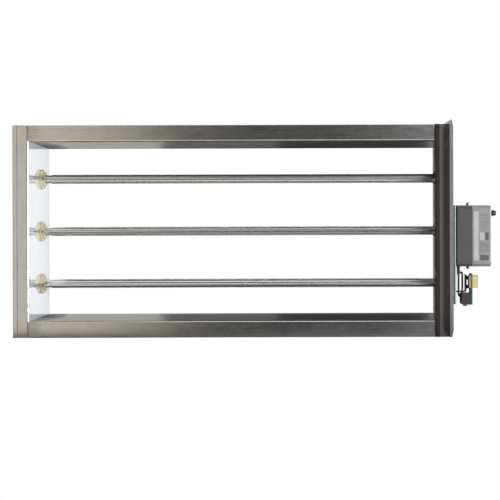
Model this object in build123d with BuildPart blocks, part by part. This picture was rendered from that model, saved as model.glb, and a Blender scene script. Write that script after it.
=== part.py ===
from build123d import *
from math import cos, pi, radians, sin
import os

# Sheet metal and fits
sheet = 1.2                     # frame, plate and bracket sheet
bend_radius = 1.0               # inside radius of every fold
running_clearance = 0.05        # radial, a shaft or pin that turns in its bore
seat_clearance = 0.03           # radial, a fixed piece in its hole
end_play = 0.3                  # axial gap between pieces that turn past each other

# Frame of three hemmed channels and a hemmed angle on the plate side
frame_width = 507.5             # left hem to the plate
frame_depth = 102.0             # front to back of the left, top and bottom channels
airway_height = 208.6
left_flange = 18.5
right_flange = 17.0
end_flange = 19.2               # top and bottom channels
hem_length = 5.0
hem_round = 0.95
hem_gap = 0.5                   # end channel hem to the right jamb's edge

# Plate that closes the slot in the duct wall
plate_lip = 16.0                # beyond the frame, front and back
plate_rise = 4.3                # above the frame
plate_clip = 10.0               # corner cut
screw_inset = 8.0               # plate screw holes from the frame's front and back
screw_spread = 200.0            # plate screw holes apart, up and down
screw_hole_radius = 2.6

# Blades and shafts
axis_setback = 8.0              # blade axes behind the middle of the frame's depth
blade_overlap = 14.4            # neighbouring blades when shut
tip_clearance = 1.5             # blade edge to the top and bottom walls when shut
blade_skin = 0.6
blade_end_gap = 13.5            # blade to the left wall
blade_hem = 6.0
blade_hem_round = 1.0
blade_bead_radius = 2.0
blade_swing = 86.0              # degrees from open to shut
tube_fillet = 2.5
shaft_radius = 4.76
shaft_chamfer = 0.6

# Bushings
left_bushing_proud = 5.5        # bearing face off the wall
left_bushing_flange = 3.5
right_bushing_proud = 2.6
right_bushing_flange = 1.8
bushing_flange_radius = 12.0
bushing_boss_radius = 9.0
bushing_barrel_radius = 7.5
bushing_snap = 0.5              # snap rim over the barrel radius
bushing_tail = 2.8              # barrel beyond the sheet
bushing_round = 0.5

# Cranks and link
crank_arm = 2.0
crank_hub_wall = 2.2
crank_pin_boss = 5.0
link_gap = 0.2
link_thickness = 2.0
link_half_width = 4.0
pin_radius = 2.5
pin_head = 1.0
pin_head_radius = 4.0
pin_collar = 1.0
pin_collar_radius = 3.8
pin_sweep = 2.2                 # pin collar to the bushing flange
head_room = 0.3                 # pin head to the end of the crank hub

# Gear train
gear_module = 0.8
sector_teeth = 48
idler_pinion_teeth = 12
idler_teeth = 36
motor_teeth = 12
tooth_addendum = 0.8            # in modules
tooth_dedendum = 1.25           # in modules
tooth_share = 0.38              # tooth thickness over pitch at the pitch circle
tooth_slope = 0.34              # flank run over rise
tooth_foot = 0.95               # tooth start over the root radius
sector_margin = 4               # spare teeth beyond the swing
sector_face = 5.0
idler_face = 3.6
layer_gap = 0.6
gear_clearance = 1.8            # gear tips to the case
idler_pin_radius = 2.0
idler_pin_seat = 1.0            # pin in the case floor
idler_shoulder_radius = 4.0
motor_shaft_radius = 1.5
motor_shaft_seat = 6.7          # shaft inside the motor
motor_hole_radius = 3.0
sector_hub_wall = 3.2
sector_holes = 3
sector_hole_step = 45.0

# Actuator
bracket_height = 10.2
bracket_foot = 12.0
bracket_screw_inset = 12.0      # from the bracket's ends
case_wall = 2.0
case_top_room = 7.9             # sector tips to the roof
case_corner = 5.0
case_edge = 1.5
post_radius = 4.0
plate_gap = 2.0                 # idler to the gear plate
gear_plate_sheet = 1.5
rim_step = 1.8                  # case rim above the gear plate
plate_play = 0.2                # gear plate edge to the case wall
tab_width = 12.0
tab_height = 9.5
motor_radius = 16.0
motor_length = 20.0
motor_clearance = 2.8           # motor to the case side
motor_end_gap = 2.3             # motor to the cover
bearing_wall = 2.2
bearing_flange = 2.0
bearing_flange_wall = 4.2

# Push button
button_front = 33.0             # button in front of the shaft
button_height = 20.4            # button above the shaft
button_gap = 2.0
button_length = 4.8
button_radius = 3.7
button_tip_radius = 2.8
button_round = 0.9
stem_radius = 2.2
clip_radius = 3.6
clip_thickness = 1.0
clip_gap = 0.1
stem_reach = 4.0                # stem beyond the cover's inner face
switch_width = 3.6
switch_depth = 8.0
switch_round = 0.5
switch_gap = 2.0                # stem to the switch

# Board under the actuator
carrier_drop = 10.4             # case to the carrier
carrier_height = 15.8           # carrier off the bracket
carrier_length = 21.1
carrier_sheet = 1.5
carrier_strip = 6.0             # strap width
carrier_foot = 11.0             # strap on the bracket
rivet_spread = 5.0
rivet_inset = 2.1               # from the foot's end
standoff_length = 3.8
standoff_radius = 2.5
standoff_inset = 4.0            # from the strap's ends
board_sheet = 1.6
board_width = 14.0
board_front = 28.0              # in front of the shaft
board_rise = 1.6                # board above the carrier
header_drop = 2.2
header_length = 15.0
header_height = 6.7
header_wall = 1.2
header_round = 0.6
header_width = 7.5
relay_height = 2.5
block_gap = 6.2                 # header to the terminal block
block_length = 13.8
block_height = 11.2
block_poles = 2
block_recess = 3.0
block_chamfer = 1.5
terminal_proud = 1.9            # screw heads below the block
bracket_overhang = 1.9          # bracket below the carrier

# Screws and leads
screw_radius = 1.9
screw_head_radius = 3.6
screw_head = 2.0
head_roundness = 0.6            # of a screw head's height
small_screw_radius = 1.3
small_head_radius = 2.4
small_head = 1.8
cover_head = 4.2
lead_radius = 1.2
lead_front = 24.0               # leads in front of the shaft
lead_setback = 24.0             # rear lead's outlet behind the front one
lead_dip = 8.0                  # rear lead under the case
lead_rise = 5.4                 # first lead off the bracket
lead_spread = 4.4
lead_turn = 2.9                 # bend into the terminal block
lead_seat = 2.0                 # lead inside the terminal block
lead_tail = 1.0                 # lead inside the case
grommet_wall = 0.7
front_grommet = 10.0
rear_grommet = 4.0
grommet_taper = 0.35

# Frame places
half_depth = frame_depth / 2
right_half_depth = half_depth + sheet
frame_half_height = airway_height / 2 + end_flange
left_face = left_flange - frame_width
end_length = -left_face - sheet
end_hem_length = -left_face - right_flange - hem_gap

# Blade places
blade_pitch = (airway_height - blade_overlap - 2 * tip_clearance) / 3
blade_half_width = (blade_pitch + blade_overlap) / 2
axis_y = axis_setback
blade_heights = {"upper": blade_pitch, "middle": 0, "lower": -blade_pitch}
axis_points = [(axis_y, height) for height in blade_heights.values()]
blade_wing = 2 * blade_skin
tube_radius = shaft_radius + seat_clearance + blade_skin
barrel_hole = bushing_barrel_radius + seat_clearance
bearing_bore = shaft_radius + running_clearance
shaft_bore = shaft_radius + seat_clearance

# Linkage places, counted from the near wall towards the airway
crank_back = -sheet - right_bushing_proud - end_play
crank_face = crank_back - crank_arm
link_back = crank_face - link_gap
link_face = link_back - link_thickness
crank_hub_face = link_face - pin_head - head_room
crank_hub_radius = shaft_radius + crank_hub_wall
crank_radius = bushing_flange_radius + pin_collar_radius + pin_sweep
pin_y = axis_y - crank_radius * cos(radians(blade_swing / 2))
pin_rise = crank_radius * sin(radians(blade_swing / 2))
pin_points = [(pin_y, height + pin_rise) for height in blade_heights.values()]
blade_left = left_face + blade_end_gap
blade_right = crank_hub_face - end_play

# Gear places: the idler hangs under the shaft and the motor pinion is behind it
sector_pitch_radius = gear_module * sector_teeth / 2
idler_pitch_radius = gear_module * idler_teeth / 2
idler_pinion_radius = gear_module * idler_pinion_teeth / 2
motor_pitch_radius = gear_module * motor_teeth / 2
addendum = tooth_addendum * gear_module
idler_drop = sector_pitch_radius + idler_pinion_radius
motor_offset = idler_pitch_radius + motor_pitch_radius
idler_z = -idler_drop
motor_y = axis_y + motor_offset

# Actuator places
bracket_face = sheet + bracket_height
case_bottom = idler_z - idler_pitch_radius - addendum - gear_clearance - case_wall
case_top = sector_pitch_radius + addendum + case_top_room + case_wall
case_half_depth = motor_offset + motor_radius + motor_clearance + case_wall
case_middle = (case_top + case_bottom) / 2
case_height = case_top - case_bottom
case_front = axis_y - case_half_depth
case_back = axis_y + case_half_depth
floor_face = bracket_face + case_wall
sector_x = floor_face + bearing_flange + end_play
idler_x = sector_x + sector_face + layer_gap
gear_plate_x = idler_x + idler_face + plate_gap
gear_plate_face = gear_plate_x + gear_plate_sheet
rim_x = gear_plate_face + rim_step
cover_inside = gear_plate_face + motor_length + motor_end_gap
cover_face = cover_inside + case_wall
shaft_end = gear_plate_x - end_play
bearing_radius = bearing_bore + bearing_wall
post_inset = case_wall + small_head_radius + end_play
post_spread_y = 2 * (case_half_depth - post_inset)
post_spread_z = case_height - 2 * post_inset
button_y = axis_y - button_front
cover_screw_x = gear_plate_face + tab_height / 2

# Board places
carrier_top = case_bottom - carrier_drop
web_top = carrier_top - carrier_length + carrier_sheet
web_bottom = web_top - carrier_sheet
foot_bottom = web_bottom - carrier_foot
carrier_face = bracket_face + carrier_height
board_x = carrier_face + standoff_length
board_face = board_x + board_sheet
board_top = carrier_top + board_rise
board_y = axis_y - board_front
board_back = board_y + board_width
strap_y = board_back - carrier_strip / 2
header_top = board_top - header_drop
header_middle = header_top - header_length / 2
header_y = board_y + header_width / 2
block_top = header_top - header_length - block_gap
block_bottom = block_top - block_length
block_x = board_x - block_height
block_pitch = board_width / block_poles
bracket_bottom = foot_bottom - bracket_overhang
standoff_drop = carrier_length - carrier_sheet - bend_radius - 2 * standoff_inset
standoff_z = carrier_top - standoff_inset - standoff_drop / 2
rivet_z = foot_bottom + rivet_inset + rivet_spread / 2
lead_y = axis_y - lead_front
rear_lead_y = lead_y + lead_setback
front_lead_x = bracket_face + lead_rise
rear_lead_x = front_lead_x + lead_spread
lead_top = case_bottom + case_wall + lead_tail
lead_entry = block_top - lead_turn - lead_radius
lead_outlets = [(front_lead_x, lead_y, front_grommet), (rear_lead_x, rear_lead_y, rear_grommet)]

os.makedirs("parts", exist_ok=True)


def save(part, node):
    part.label = node
    export_step(part, f"parts/{node}.step")


def nearest(sketch, *points):
    return [sketch.vertices().sort_by_distance((u, v, 0))[0] for u, v in points]


# A folded channel: web on the plane's local X axis, flanges along local Y, hems on the outside
def make_channel(plane, half_width, flange, length, hem_end):
    inner = half_width - sheet
    hem_middle = half_width + sheet / 2
    with BuildPart() as channel:
        with BuildSketch(plane) as section:
            with BuildLine():
                Polyline(
                    (-half_width, 0), (half_width, 0), (half_width, flange), (inner, flange),
                    (inner, sheet), (-inner, sheet), (-inner, flange), (-half_width, flange),
                    close=True,
                )
            make_face()
            fillet(nearest(section, (-inner, sheet), (inner, sheet)), bend_radius)
            fillet(nearest(section, (-half_width, 0), (half_width, 0)), bend_radius + sheet)
            fillet(nearest(section, (-inner, flange), (inner, flange)), hem_round)
        extrude(amount=length)
        with BuildSketch(plane) as hems:
            with Locations((-hem_middle, flange - hem_length / 2), (hem_middle, flange - hem_length / 2)):
                Rectangle(sheet, hem_length)
            tip = half_width + sheet
            fillet(nearest(hems, (-tip, flange), (tip, flange)), hem_round)
        extrude(amount=hem_end)
    return channel.part


# Frame
with BuildPart() as left_channel:
    add(make_channel(
        Plane((left_face, 0, -frame_half_height), x_dir=(0, 1, 0), z_dir=(0, 0, 1)),
        half_depth, left_flange, 2 * frame_half_height, 2 * frame_half_height,
    ))
    with BuildSketch(Plane.YZ.offset(left_face - sheet)):
        with Locations(*axis_points):
            Circle(barrel_hole)
    extrude(amount=sheet, mode=Mode.SUBTRACT)
save(left_channel.part, "left_channel")

# Right jamb: an angle whose front flange laps over the end channels
jamb_front = -right_half_depth
with BuildPart() as right_jamb:
    with BuildSketch(Plane.XY.offset(-frame_half_height)) as section:
        hem_face = jamb_front - sheet
        hem_start = hem_length - right_flange
        with BuildLine():
            Polyline(
                (0, half_depth), (0, jamb_front), (hem_start, jamb_front), (hem_start, hem_face),
                (-right_flange, hem_face), (-right_flange, jamb_front + sheet),
                (-sheet, jamb_front + sheet), (-sheet, half_depth), close=True,
            )
        make_face()
        fillet(nearest(section, (-right_flange, hem_face), (-right_flange, jamb_front + sheet)), hem_round)
        fillet(nearest(section, (0, jamb_front)), hem_round)
    extrude(amount=2 * frame_half_height)
    with BuildSketch(Plane.YZ.offset(-sheet)):
        with Locations(*axis_points):
            Circle(barrel_hole)
    extrude(amount=sheet, mode=Mode.SUBTRACT)
save(right_jamb.part, "right_jamb")

with BuildPart() as top_channel:
    add(make_channel(
        Plane((left_face, 0, airway_height / 2), x_dir=(0, 1, 0), z_dir=(1, 0, 0)),
        half_depth, end_flange, end_length, end_hem_length,
    ))
save(top_channel.part, "top_channel")

with BuildPart() as bottom_channel:
    add(make_channel(
        Plane((left_face, 0, -airway_height / 2), x_dir=(0, -1, 0), z_dir=(1, 0, 0)),
        half_depth, end_flange, end_length, end_hem_length,
    ))
save(bottom_channel.part, "bottom_channel")

# Mounting plate, flush with the frame's underside and proud of its top
plate_half_width = right_half_depth + plate_lip
plate_height = 2 * frame_half_height + plate_rise
screw_hole_y = right_half_depth + screw_inset
foot_screw_y = case_half_depth + bracket_foot / 2
bracket_length = case_top - bracket_bottom
foot_screw_spread = bracket_length - 2 * bracket_screw_inset
bracket_middle = (case_top + bracket_bottom) / 2
with BuildPart() as mounting_plate:
    with BuildSketch(Plane.YZ) as outline:
        with Locations((0, plate_rise / 2)):
            Rectangle(2 * plate_half_width, plate_height)
        chamfer(outline.vertices(), plate_clip)
        with Locations(*axis_points):
            Circle(barrel_hole, mode=Mode.SUBTRACT)
        with GridLocations(2 * screw_hole_y, screw_spread, 2, 2):
            Circle(screw_hole_radius, mode=Mode.SUBTRACT)
        with Locations((axis_y, bracket_middle)):
            with GridLocations(2 * foot_screw_y, foot_screw_spread, 2, 2):
                Circle(screw_radius + seat_clearance, mode=Mode.SUBTRACT)
    extrude(amount=sheet)
save(mounting_plate.part, "mounting_plate")


# A nylon bushing: flange and bearing boss on the airway side, snap barrel through the sheet
def make_bushing(wall_x, airway_side, height, grip, flange, proud):
    plane = Plane((wall_x, axis_y, height), x_dir=(airway_side, 0, 0), z_dir=(0, 0, 1))
    tail_end = -grip - bushing_tail
    snap_radius = bushing_barrel_radius + bushing_snap
    with BuildPart() as bushing:
        with BuildSketch(plane) as profile:
            with BuildLine():
                Polyline(
                    (tail_end, bearing_bore), (tail_end, bushing_barrel_radius - bushing_snap),
                    (-grip, snap_radius), (-grip, bushing_barrel_radius), (0, bushing_barrel_radius),
                    (0, bushing_flange_radius), (flange, bushing_flange_radius),
                    (flange, bushing_boss_radius), (proud, bushing_boss_radius),
                    (proud, bearing_bore), close=True,
                )
            make_face()
            rims = nearest(profile, (flange, bushing_flange_radius), (proud, bushing_boss_radius))
            fillet(rims, bushing_round)
        revolve(axis=Axis(plane.origin, plane.x_dir))
    return bushing.part


# A double-skin blade, roll-formed round its shaft and hemmed at both edges
def make_blade(height):
    with BuildPart() as blade:
        with BuildSketch(Plane.YZ.offset(blade_left)) as section:
            with Locations((axis_y, height)):
                Rectangle(2 * blade_half_width, blade_wing)
                Circle(tube_radius)
            joints = section.vertices().filter_by_position(
                Axis.X, axis_y - tube_radius, axis_y + tube_radius
            )
            fillet(joints, tube_fillet)
            with Locations((axis_y, height)):
                with GridLocations(2 * blade_half_width - blade_hem, 0, 2, 1):
                    RectangleRounded(blade_hem, 2 * blade_wing, blade_hem_round)
                with GridLocations(blade_half_width + tube_radius, 0, 2, 1):
                    Circle(blade_bead_radius)
                Circle(shaft_bore, mode=Mode.SUBTRACT)
        extrude(amount=blade_right - blade_left)
    return blade.part


# A crank clamped on a shaft, with a flat arm to the link pin
def make_crank(height):
    pin_centre = (pin_y, height + pin_rise)
    with BuildPart() as crank:
        with BuildSketch(Plane.YZ.offset(crank_face)):
            with Locations((axis_y, height)):
                Circle(crank_hub_radius)
            with Locations(pin_centre):
                Circle(crank_pin_boss)
            make_hull()
        extrude(amount=crank_arm)
        with BuildSketch(Plane.YZ.offset(crank_hub_face)):
            with Locations((axis_y, height)):
                Circle(crank_hub_radius)
        extrude(amount=crank_back - crank_hub_face)
        with BuildSketch(Plane.YZ.offset(crank_hub_face)):
            with Locations((axis_y, height)):
                Circle(shaft_bore)
            with Locations(pin_centre):
                Circle(pin_radius + running_clearance)
        extrude(amount=crank_back - crank_hub_face, mode=Mode.SUBTRACT)
    return crank.part


def make_shaft(height, right_end):
    left_end = left_face - sheet - bushing_tail
    with BuildPart() as shaft:
        with BuildSketch(Plane.YZ.offset(left_end)):
            with Locations((axis_y, height)):
                Circle(shaft_radius)
        extrude(amount=right_end - left_end)
        chamfer(shaft.edges().filter_by(GeomType.CIRCLE), shaft_chamfer)
    return shaft.part


for level, height in blade_heights.items():
    left_bushing = make_bushing(left_face, 1, height, sheet, left_bushing_flange, left_bushing_proud)
    save(left_bushing, f"{level}_left_bushing")
    right_bushing = make_bushing(-sheet, -1, height, 2 * sheet, right_bushing_flange, right_bushing_proud)
    save(right_bushing, f"{level}_right_bushing")
    save(make_blade(height), f"{level}_blade")
    save(make_crank(height), f"{level}_crank")
    right_end = shaft_end if level == "middle" else sheet + bushing_tail
    save(make_shaft(height, right_end), f"{level}_shaft")

# Link bar and the shoulder pins riveted in it
with BuildPart() as link_bar:
    with BuildSketch(Plane.YZ.offset(link_face)):
        with Locations(pin_points[0], pin_points[-1]):
            Circle(link_half_width)
        make_hull()
        with Locations(*pin_points):
            Circle(pin_radius + seat_clearance, mode=Mode.SUBTRACT)
    extrude(amount=link_thickness)
save(link_bar.part, "link_bar")

with BuildPart() as link_pins:
    with BuildSketch(Plane.YZ.offset(link_face - pin_head)):
        with Locations(*pin_points):
            Circle(pin_head_radius)
    extrude(amount=pin_head)
    with BuildSketch(Plane.YZ.offset(link_face)):
        with Locations(*pin_points):
            Circle(pin_radius)
    extrude(amount=crank_back + link_gap - link_face)
    with BuildSketch(Plane.YZ.offset(crank_back + link_gap)):
        with Locations(*pin_points):
            Circle(pin_collar_radius)
    extrude(amount=pin_collar)
save(link_pins.part, "link_pins")

# Hat bracket that carries the actuator clear of the plate
with BuildPart() as actuator_bracket:
    with BuildSketch(Plane.XY.offset(bracket_bottom)) as section:
        foot_face = 2 * sheet
        with BuildLine():
            Polyline(
                (sheet, case_front - bracket_foot), (foot_face, case_front - bracket_foot),
                (foot_face, case_front), (bracket_face, case_front), (bracket_face, case_back),
                (foot_face, case_back), (foot_face, case_back + bracket_foot),
                (sheet, case_back + bracket_foot), (sheet, case_back - sheet),
                (bracket_face - sheet, case_back - sheet), (bracket_face - sheet, case_front + sheet),
                (sheet, case_front + sheet), close=True,
            )
        make_face()
        inside_bends = nearest(
            section, (foot_face, case_front), (foot_face, case_back),
            (bracket_face - sheet, case_back - sheet), (bracket_face - sheet, case_front + sheet),
        )
        fillet(inside_bends, bend_radius)
        outside_bends = nearest(
            section, (bracket_face, case_front), (bracket_face, case_back),
            (sheet, case_back - sheet), (sheet, case_front + sheet),
        )
        fillet(outside_bends, bend_radius + sheet)
    extrude(amount=bracket_length)
    with BuildSketch(Plane.YZ.offset(bracket_face - sheet)):
        with Locations((axis_y, 0)):
            Circle(bearing_radius)
    extrude(amount=sheet, mode=Mode.SUBTRACT)
    with BuildSketch(Plane.YZ.offset(sheet)):
        with Locations((axis_y, bracket_middle)):
            with GridLocations(2 * foot_screw_y, foot_screw_spread, 2, 2):
                Circle(screw_radius + seat_clearance)
    extrude(amount=sheet, mode=Mode.SUBTRACT)
    with BuildSketch(Plane.YZ.offset(bracket_face - sheet)):
        with Locations((strap_y, rivet_z)):
            with GridLocations(0, rivet_spread, 1, 2):
                Circle(small_screw_radius + seat_clearance)
    extrude(amount=sheet, mode=Mode.SUBTRACT)
save(actuator_bracket.part, "actuator_bracket")

with BuildPart() as bracket_screws:
    with BuildSketch(Plane.YZ):
        with Locations((axis_y, bracket_middle)):
            with GridLocations(2 * foot_screw_y, foot_screw_spread, 2, 2):
                Circle(screw_radius)
    extrude(amount=2 * sheet)
    with BuildSketch(Plane.YZ.offset(2 * sheet)):
        with Locations((axis_y, bracket_middle)):
            with GridLocations(2 * foot_screw_y, foot_screw_spread, 2, 2):
                Circle(screw_head_radius)
    extrude(amount=screw_head)
    head_rims = bracket_screws.edges().filter_by(GeomType.CIRCLE).group_by(Axis.X)[-1]
    fillet(head_rims, head_roundness * screw_head)
save(bracket_screws.part, "bracket_screws")

# Gearcase base: an open tray with corner posts for the gear plate
with BuildPart() as gearcase_base:
    with BuildSketch(Plane.YZ.offset(bracket_face)):
        with Locations((axis_y, case_middle)):
            RectangleRounded(2 * case_half_depth, case_height, case_corner)
    extrude(amount=rim_x - bracket_face)
    fillet(gearcase_base.edges().group_by(Axis.X)[0], case_edge)
    with BuildSketch(Plane.YZ.offset(floor_face)):
        with Locations((axis_y, case_middle)):
            RectangleRounded(
                2 * (case_half_depth - case_wall), case_height - 2 * case_wall, case_corner - case_wall
            )
    extrude(amount=rim_x - floor_face, mode=Mode.SUBTRACT)
    with BuildSketch(Plane.YZ.offset(floor_face)):
        with Locations((axis_y, case_middle)):
            with GridLocations(post_spread_y, post_spread_z, 2, 2):
                Circle(post_radius)
    extrude(amount=gear_plate_x - floor_face)
    with BuildSketch(Plane.YZ.offset(floor_face)):
        with Locations((axis_y, case_middle)):
            with GridLocations(post_spread_y, post_spread_z, 2, 2):
                Circle(small_screw_radius + seat_clearance)
    extrude(amount=gear_plate_x - floor_face, mode=Mode.SUBTRACT)
    with BuildSketch(Plane.YZ.offset(bracket_face)):
        with Locations((axis_y, 0)):
            Circle(bearing_radius + seat_clearance)
    extrude(amount=case_wall, mode=Mode.SUBTRACT)
    with BuildSketch(Plane.YZ.offset(floor_face - idler_pin_seat)):
        with Locations((axis_y, idler_z)):
            Circle(idler_pin_radius + seat_clearance)
    extrude(amount=idler_pin_seat, mode=Mode.SUBTRACT)
    with BuildSketch(Plane.XY.offset(case_bottom)):
        with Locations(*[(outlet_x, outlet_y) for outlet_x, outlet_y, length in lead_outlets]):
            Circle(lead_radius + running_clearance + grommet_wall + seat_clearance)
    extrude(amount=case_wall, mode=Mode.SUBTRACT)
save(gearcase_base.part, "gearcase_base")

with BuildPart() as output_bearing:
    with BuildSketch(Plane.YZ.offset(bracket_face)):
        with Locations((axis_y, 0)):
            Circle(bearing_radius)
            Circle(bearing_bore, mode=Mode.SUBTRACT)
    extrude(amount=case_wall)
    with BuildSketch(Plane.YZ.offset(floor_face)):
        with Locations((axis_y, 0)):
            Circle(bearing_bore + bearing_flange_wall)
            Circle(bearing_bore, mode=Mode.SUBTRACT)
    extrude(amount=bearing_flange)
save(output_bearing.part, "output_bearing")


# Straight-flanked gear teeth about the current location
def add_teeth(pitch_radius, pitch_count, first_angle, count):
    tip = pitch_radius + addendum
    root = pitch_radius - tooth_dedendum * gear_module
    half_tooth = tooth_share * gear_module * pi / 2
    tip_half = half_tooth - tooth_slope * addendum
    root_half = half_tooth + tooth_slope * (pitch_radius - root)
    foot = tooth_foot * root
    outline = [(foot, -root_half), (tip, -tip_half), (tip, tip_half), (foot, root_half)]
    with PolarLocations(0, count, first_angle, 360 * count / pitch_count):
        Polygon(*outline, align=None)


# Output sector on the middle shaft, toothed over the swing
sector_root = sector_pitch_radius - tooth_dedendum * gear_module
sector_step = 360 / sector_teeth
sector_count = int(blade_swing / sector_step) + 1 + 2 * sector_margin
sector_first = -90 - (sector_count - 1 - sector_margin) * sector_step
sector_middle = sector_first + (sector_count - 1) * sector_step / 2
sector_hub_radius = shaft_radius + sector_hub_wall
with BuildPart() as sector_gear:
    with BuildSketch(Plane.YZ.offset(sector_x)):
        with Locations((axis_y, 0)):
            Circle(sector_root)
            with PolarLocations(0, 1, sector_middle + 180):
                Rectangle(
                    2 * sector_root, 4 * sector_root, align=(Align.MIN, Align.CENTER), mode=Mode.SUBTRACT
                )
            Circle(sector_hub_radius)
            add_teeth(sector_pitch_radius, sector_teeth, sector_first, sector_count)
            with PolarLocations(
                (sector_hub_radius + sector_root) / 2, sector_holes,
                sector_middle - sector_hole_step, sector_holes * sector_hole_step,
            ):
                Circle((sector_root - sector_hub_radius) / 4, mode=Mode.SUBTRACT)
    extrude(amount=sector_face)
    with BuildSketch(Plane.YZ.offset(sector_x)):
        with Locations((axis_y, 0)):
            Circle(sector_hub_radius)
    extrude(amount=idler_x + idler_face - sector_x)
    with BuildSketch(Plane.YZ.offset(sector_x)):
        with Locations((axis_y, 0)):
            Circle(shaft_bore)
    extrude(amount=idler_x + idler_face - sector_x, mode=Mode.SUBTRACT)
save(sector_gear.part, "sector_gear")

# Compound idler: the small gear drives the sector, the large one takes the motor pinion
with BuildPart() as idler_gear:
    with BuildSketch(Plane.YZ.offset(sector_x)):
        with Locations((axis_y, idler_z)):
            Circle(idler_pinion_radius - tooth_dedendum * gear_module)
            idler_first = 90 + 180 / idler_pinion_teeth
            add_teeth(idler_pinion_radius, idler_pinion_teeth, idler_first, idler_pinion_teeth)
    extrude(amount=idler_x - sector_x)
    with BuildSketch(Plane.YZ.offset(idler_x)):
        with Locations((axis_y, idler_z)):
            Circle(idler_pitch_radius - tooth_dedendum * gear_module)
            add_teeth(idler_pitch_radius, idler_teeth, 0, idler_teeth)
    extrude(amount=idler_face)
    with BuildSketch(Plane.YZ.offset(sector_x)):
        with Locations((axis_y, idler_z)):
            Circle(idler_pin_radius + running_clearance)
    extrude(amount=idler_x + idler_face - sector_x, mode=Mode.SUBTRACT)
save(idler_gear.part, "idler_gear")

with BuildPart() as idler_pin:
    with BuildSketch(Plane.YZ.offset(floor_face - idler_pin_seat)):
        with Locations((axis_y, idler_z)):
            Circle(idler_pin_radius)
    extrude(amount=gear_plate_face - floor_face + idler_pin_seat)
    with BuildSketch(Plane.YZ.offset(floor_face)):
        with Locations((axis_y, idler_z)):
            Circle(idler_shoulder_radius)
    extrude(amount=bearing_flange)
save(idler_pin.part, "idler_pin")

# Motor pinion on its own shaft
with BuildPart() as motor_pinion:
    with BuildSketch(Plane.YZ.offset(idler_x)):
        with Locations((motor_y, idler_z)):
            Circle(motor_pitch_radius - tooth_dedendum * gear_module)
            add_teeth(motor_pitch_radius, motor_teeth, 180 + 180 / motor_teeth, motor_teeth)
    extrude(amount=idler_face)
    with BuildSketch(Plane.YZ.offset(idler_x)):
        with Locations((motor_y, idler_z)):
            Circle(motor_shaft_radius)
    extrude(amount=gear_plate_face + motor_shaft_seat - idler_x)
save(motor_pinion.part, "motor_pinion")

# Gear plate with a tab at top and bottom that takes the cover screws
tab_reach = case_height / 2 - case_wall - plate_play
with BuildPart() as gear_plate:
    with BuildSketch(Plane.YZ.offset(gear_plate_x)):
        with Locations((axis_y, case_middle)):
            RectangleRounded(
                2 * (case_half_depth - case_wall - plate_play), 2 * tab_reach, case_corner - case_wall
            )
            with GridLocations(post_spread_y, post_spread_z, 2, 2):
                Circle(small_screw_radius + seat_clearance, mode=Mode.SUBTRACT)
        with Locations((axis_y, idler_z)):
            Circle(idler_pin_radius + seat_clearance, mode=Mode.SUBTRACT)
        with Locations((motor_y, idler_z)):
            Circle(motor_hole_radius, mode=Mode.SUBTRACT)
    extrude(amount=gear_plate_sheet)
    with BuildSketch(Plane.YZ.offset(gear_plate_face)):
        with Locations((axis_y, case_middle)):
            with GridLocations(0, 2 * tab_reach - gear_plate_sheet, 1, 2):
                Rectangle(tab_width, gear_plate_sheet)
    extrude(amount=tab_height)
    with BuildSketch(Plane.XY.offset(case_middle)):
        with Locations((cover_screw_x, axis_y)):
            Circle(small_screw_radius + seat_clearance)
    extrude(amount=case_height / 2, both=True, mode=Mode.SUBTRACT)
save(gear_plate.part, "gear_plate")

with BuildPart() as gear_plate_screws:
    with BuildSketch(Plane.YZ.offset(floor_face)):
        with Locations((axis_y, case_middle)):
            with GridLocations(post_spread_y, post_spread_z, 2, 2):
                Circle(small_screw_radius)
    extrude(amount=gear_plate_face - floor_face)
    with BuildSketch(Plane.YZ.offset(gear_plate_face)):
        with Locations((axis_y, case_middle)):
            with GridLocations(post_spread_y, post_spread_z, 2, 2):
                Circle(small_head_radius)
    extrude(amount=small_head)
save(gear_plate_screws.part, "gear_plate_screws")

# Sealed gearmotor
with BuildPart() as motor_can:
    with BuildSketch(Plane.YZ.offset(gear_plate_face)):
        with Locations((motor_y, idler_z)):
            Circle(motor_radius)
    extrude(amount=motor_length)
    fillet(motor_can.edges().filter_by(GeomType.CIRCLE).group_by(Axis.X)[-1], case_edge)
    with BuildSketch(Plane.YZ.offset(gear_plate_face)):
        with Locations((motor_y, idler_z)):
            Circle(motor_shaft_radius + running_clearance)
    extrude(amount=motor_shaft_seat + end_play, mode=Mode.SUBTRACT)
save(motor_can.part, "motor_can")

# Gearcase cover over the motor
with BuildPart() as gearcase_cover:
    with BuildSketch(Plane.YZ.offset(rim_x)):
        with Locations((axis_y, case_middle)):
            RectangleRounded(2 * case_half_depth, case_height, case_corner)
    extrude(amount=cover_face - rim_x)
    fillet(gearcase_cover.edges().group_by(Axis.X)[-1], case_edge)
    with BuildSketch(Plane.YZ.offset(rim_x)):
        with Locations((axis_y, case_middle)):
            RectangleRounded(
                2 * (case_half_depth - case_wall), case_height - 2 * case_wall, case_corner - case_wall
            )
    extrude(amount=cover_inside - rim_x, mode=Mode.SUBTRACT)
    with BuildSketch(Plane.YZ.offset(cover_inside)):
        with Locations((button_y, button_height)):
            Circle(stem_radius + running_clearance)
    extrude(amount=case_wall, mode=Mode.SUBTRACT)
    with BuildSketch(Plane.XY.offset(case_middle)):
        with Locations((cover_screw_x, axis_y)):
            Circle(small_screw_radius + seat_clearance)
    extrude(amount=case_height / 2, both=True, mode=Mode.SUBTRACT)
save(gearcase_cover.part, "gearcase_cover")

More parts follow.
